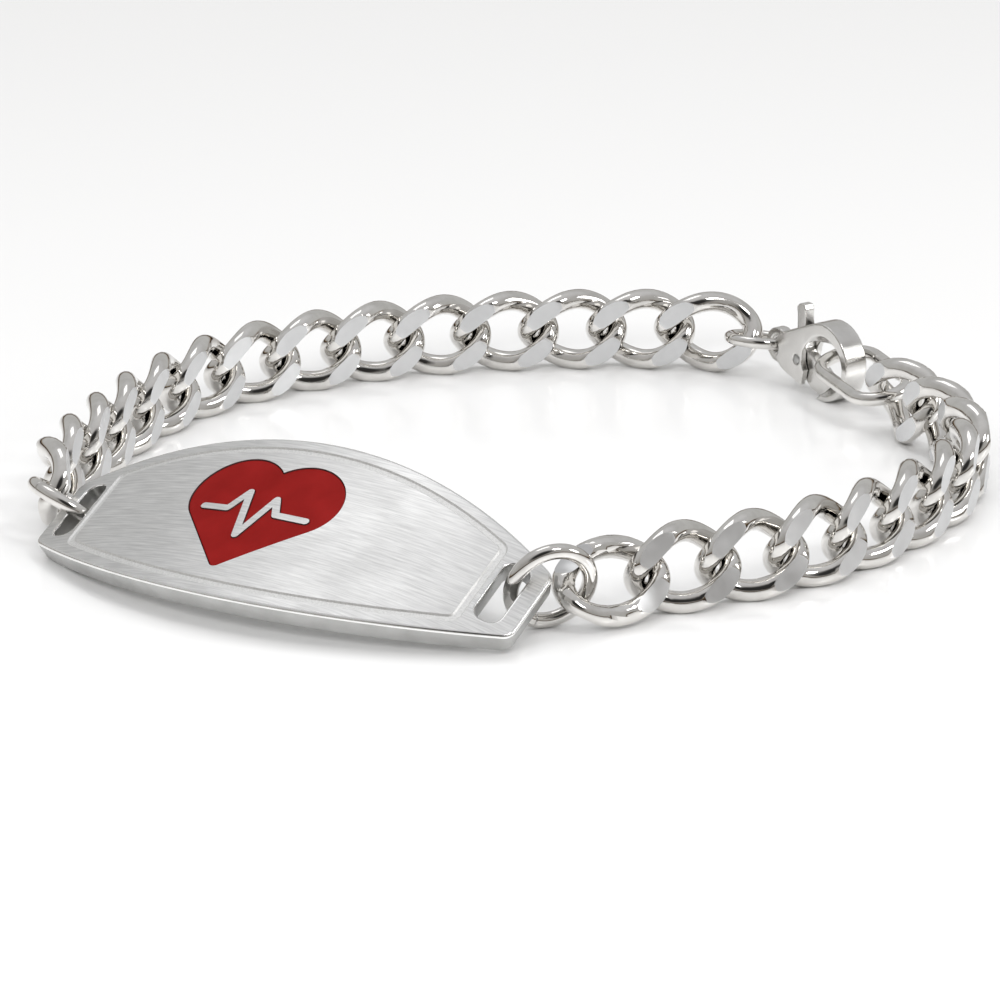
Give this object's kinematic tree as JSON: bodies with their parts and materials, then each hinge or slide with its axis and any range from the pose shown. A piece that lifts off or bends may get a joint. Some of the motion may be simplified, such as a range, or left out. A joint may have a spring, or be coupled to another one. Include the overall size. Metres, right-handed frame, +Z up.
{
  "type": "medical alert bracelet",
  "caption": "Bracelet for the wrist: a curved metal plate with a red enamel emblem, held by two jump rings to a curb chain that a lobster clasp closes.",
  "frame": {"origin": "middle of the bracelet's outer box in plan, on the surface it lies on", "axes": "+Z up from that surface; +X from the plate's left end towards the chain's right side; -Y towards the plate at the front"},
  "size_m": [0.074, 0.0726, 0.0103],
  "materials": {
    "brushed_plate": "brushed along the plate",
    "red_enamel": "glossy",
    "polished_steel": "polished"
  },
  "bodies": {
    "bracelet": {"id_plate": "brushed_plate", "emblem_enamel": "red_enamel", "jump_ring_right": "polished_steel", "jump_ring_left": "polished_steel", "link_01": "polished_steel", "link_02": "polished_steel", "link_03": "polished_steel", "link_04": "polished_steel", "link_05": "polished_steel", "link_06": "polished_steel", "link_07": "polished_steel", "link_08": "polished_steel", "link_09": "polished_steel", "link_10": "polished_steel", "link_11": "polished_steel", "link_12": "polished_steel", "link_13": "polished_steel", "link_14": "polished_steel", "link_15": "polished_steel", "link_16": "polished_steel", "link_17": "polished_steel", "link_18": "polished_steel", "link_19": "polished_steel", "link_20": "polished_steel", "link_21": "polished_steel", "link_22": "polished_steel", "link_23": "polished_steel", "link_24": "polished_steel", "link_25": "polished_steel", "end_link": "polished_steel", "clasp_body": "polished_steel", "clasp_pin": "polished_steel", "clasp_ring": "polished_steel"},
    "lever": {"clasp_lever": "polished_steel"}
  },
  "joints": [
    {"name": "clasp_lever_hinge", "type": "hinge", "parent": "bracelet", "child": "lever", "pos_m": [0.0242, 0.02847, 0.0028], "axis": [-0.819, -0.5737, 0], "range_deg": [0, 20], "stiffness_Nm_per_rad": 0.002, "springref_deg": -11.46}
  ]
}
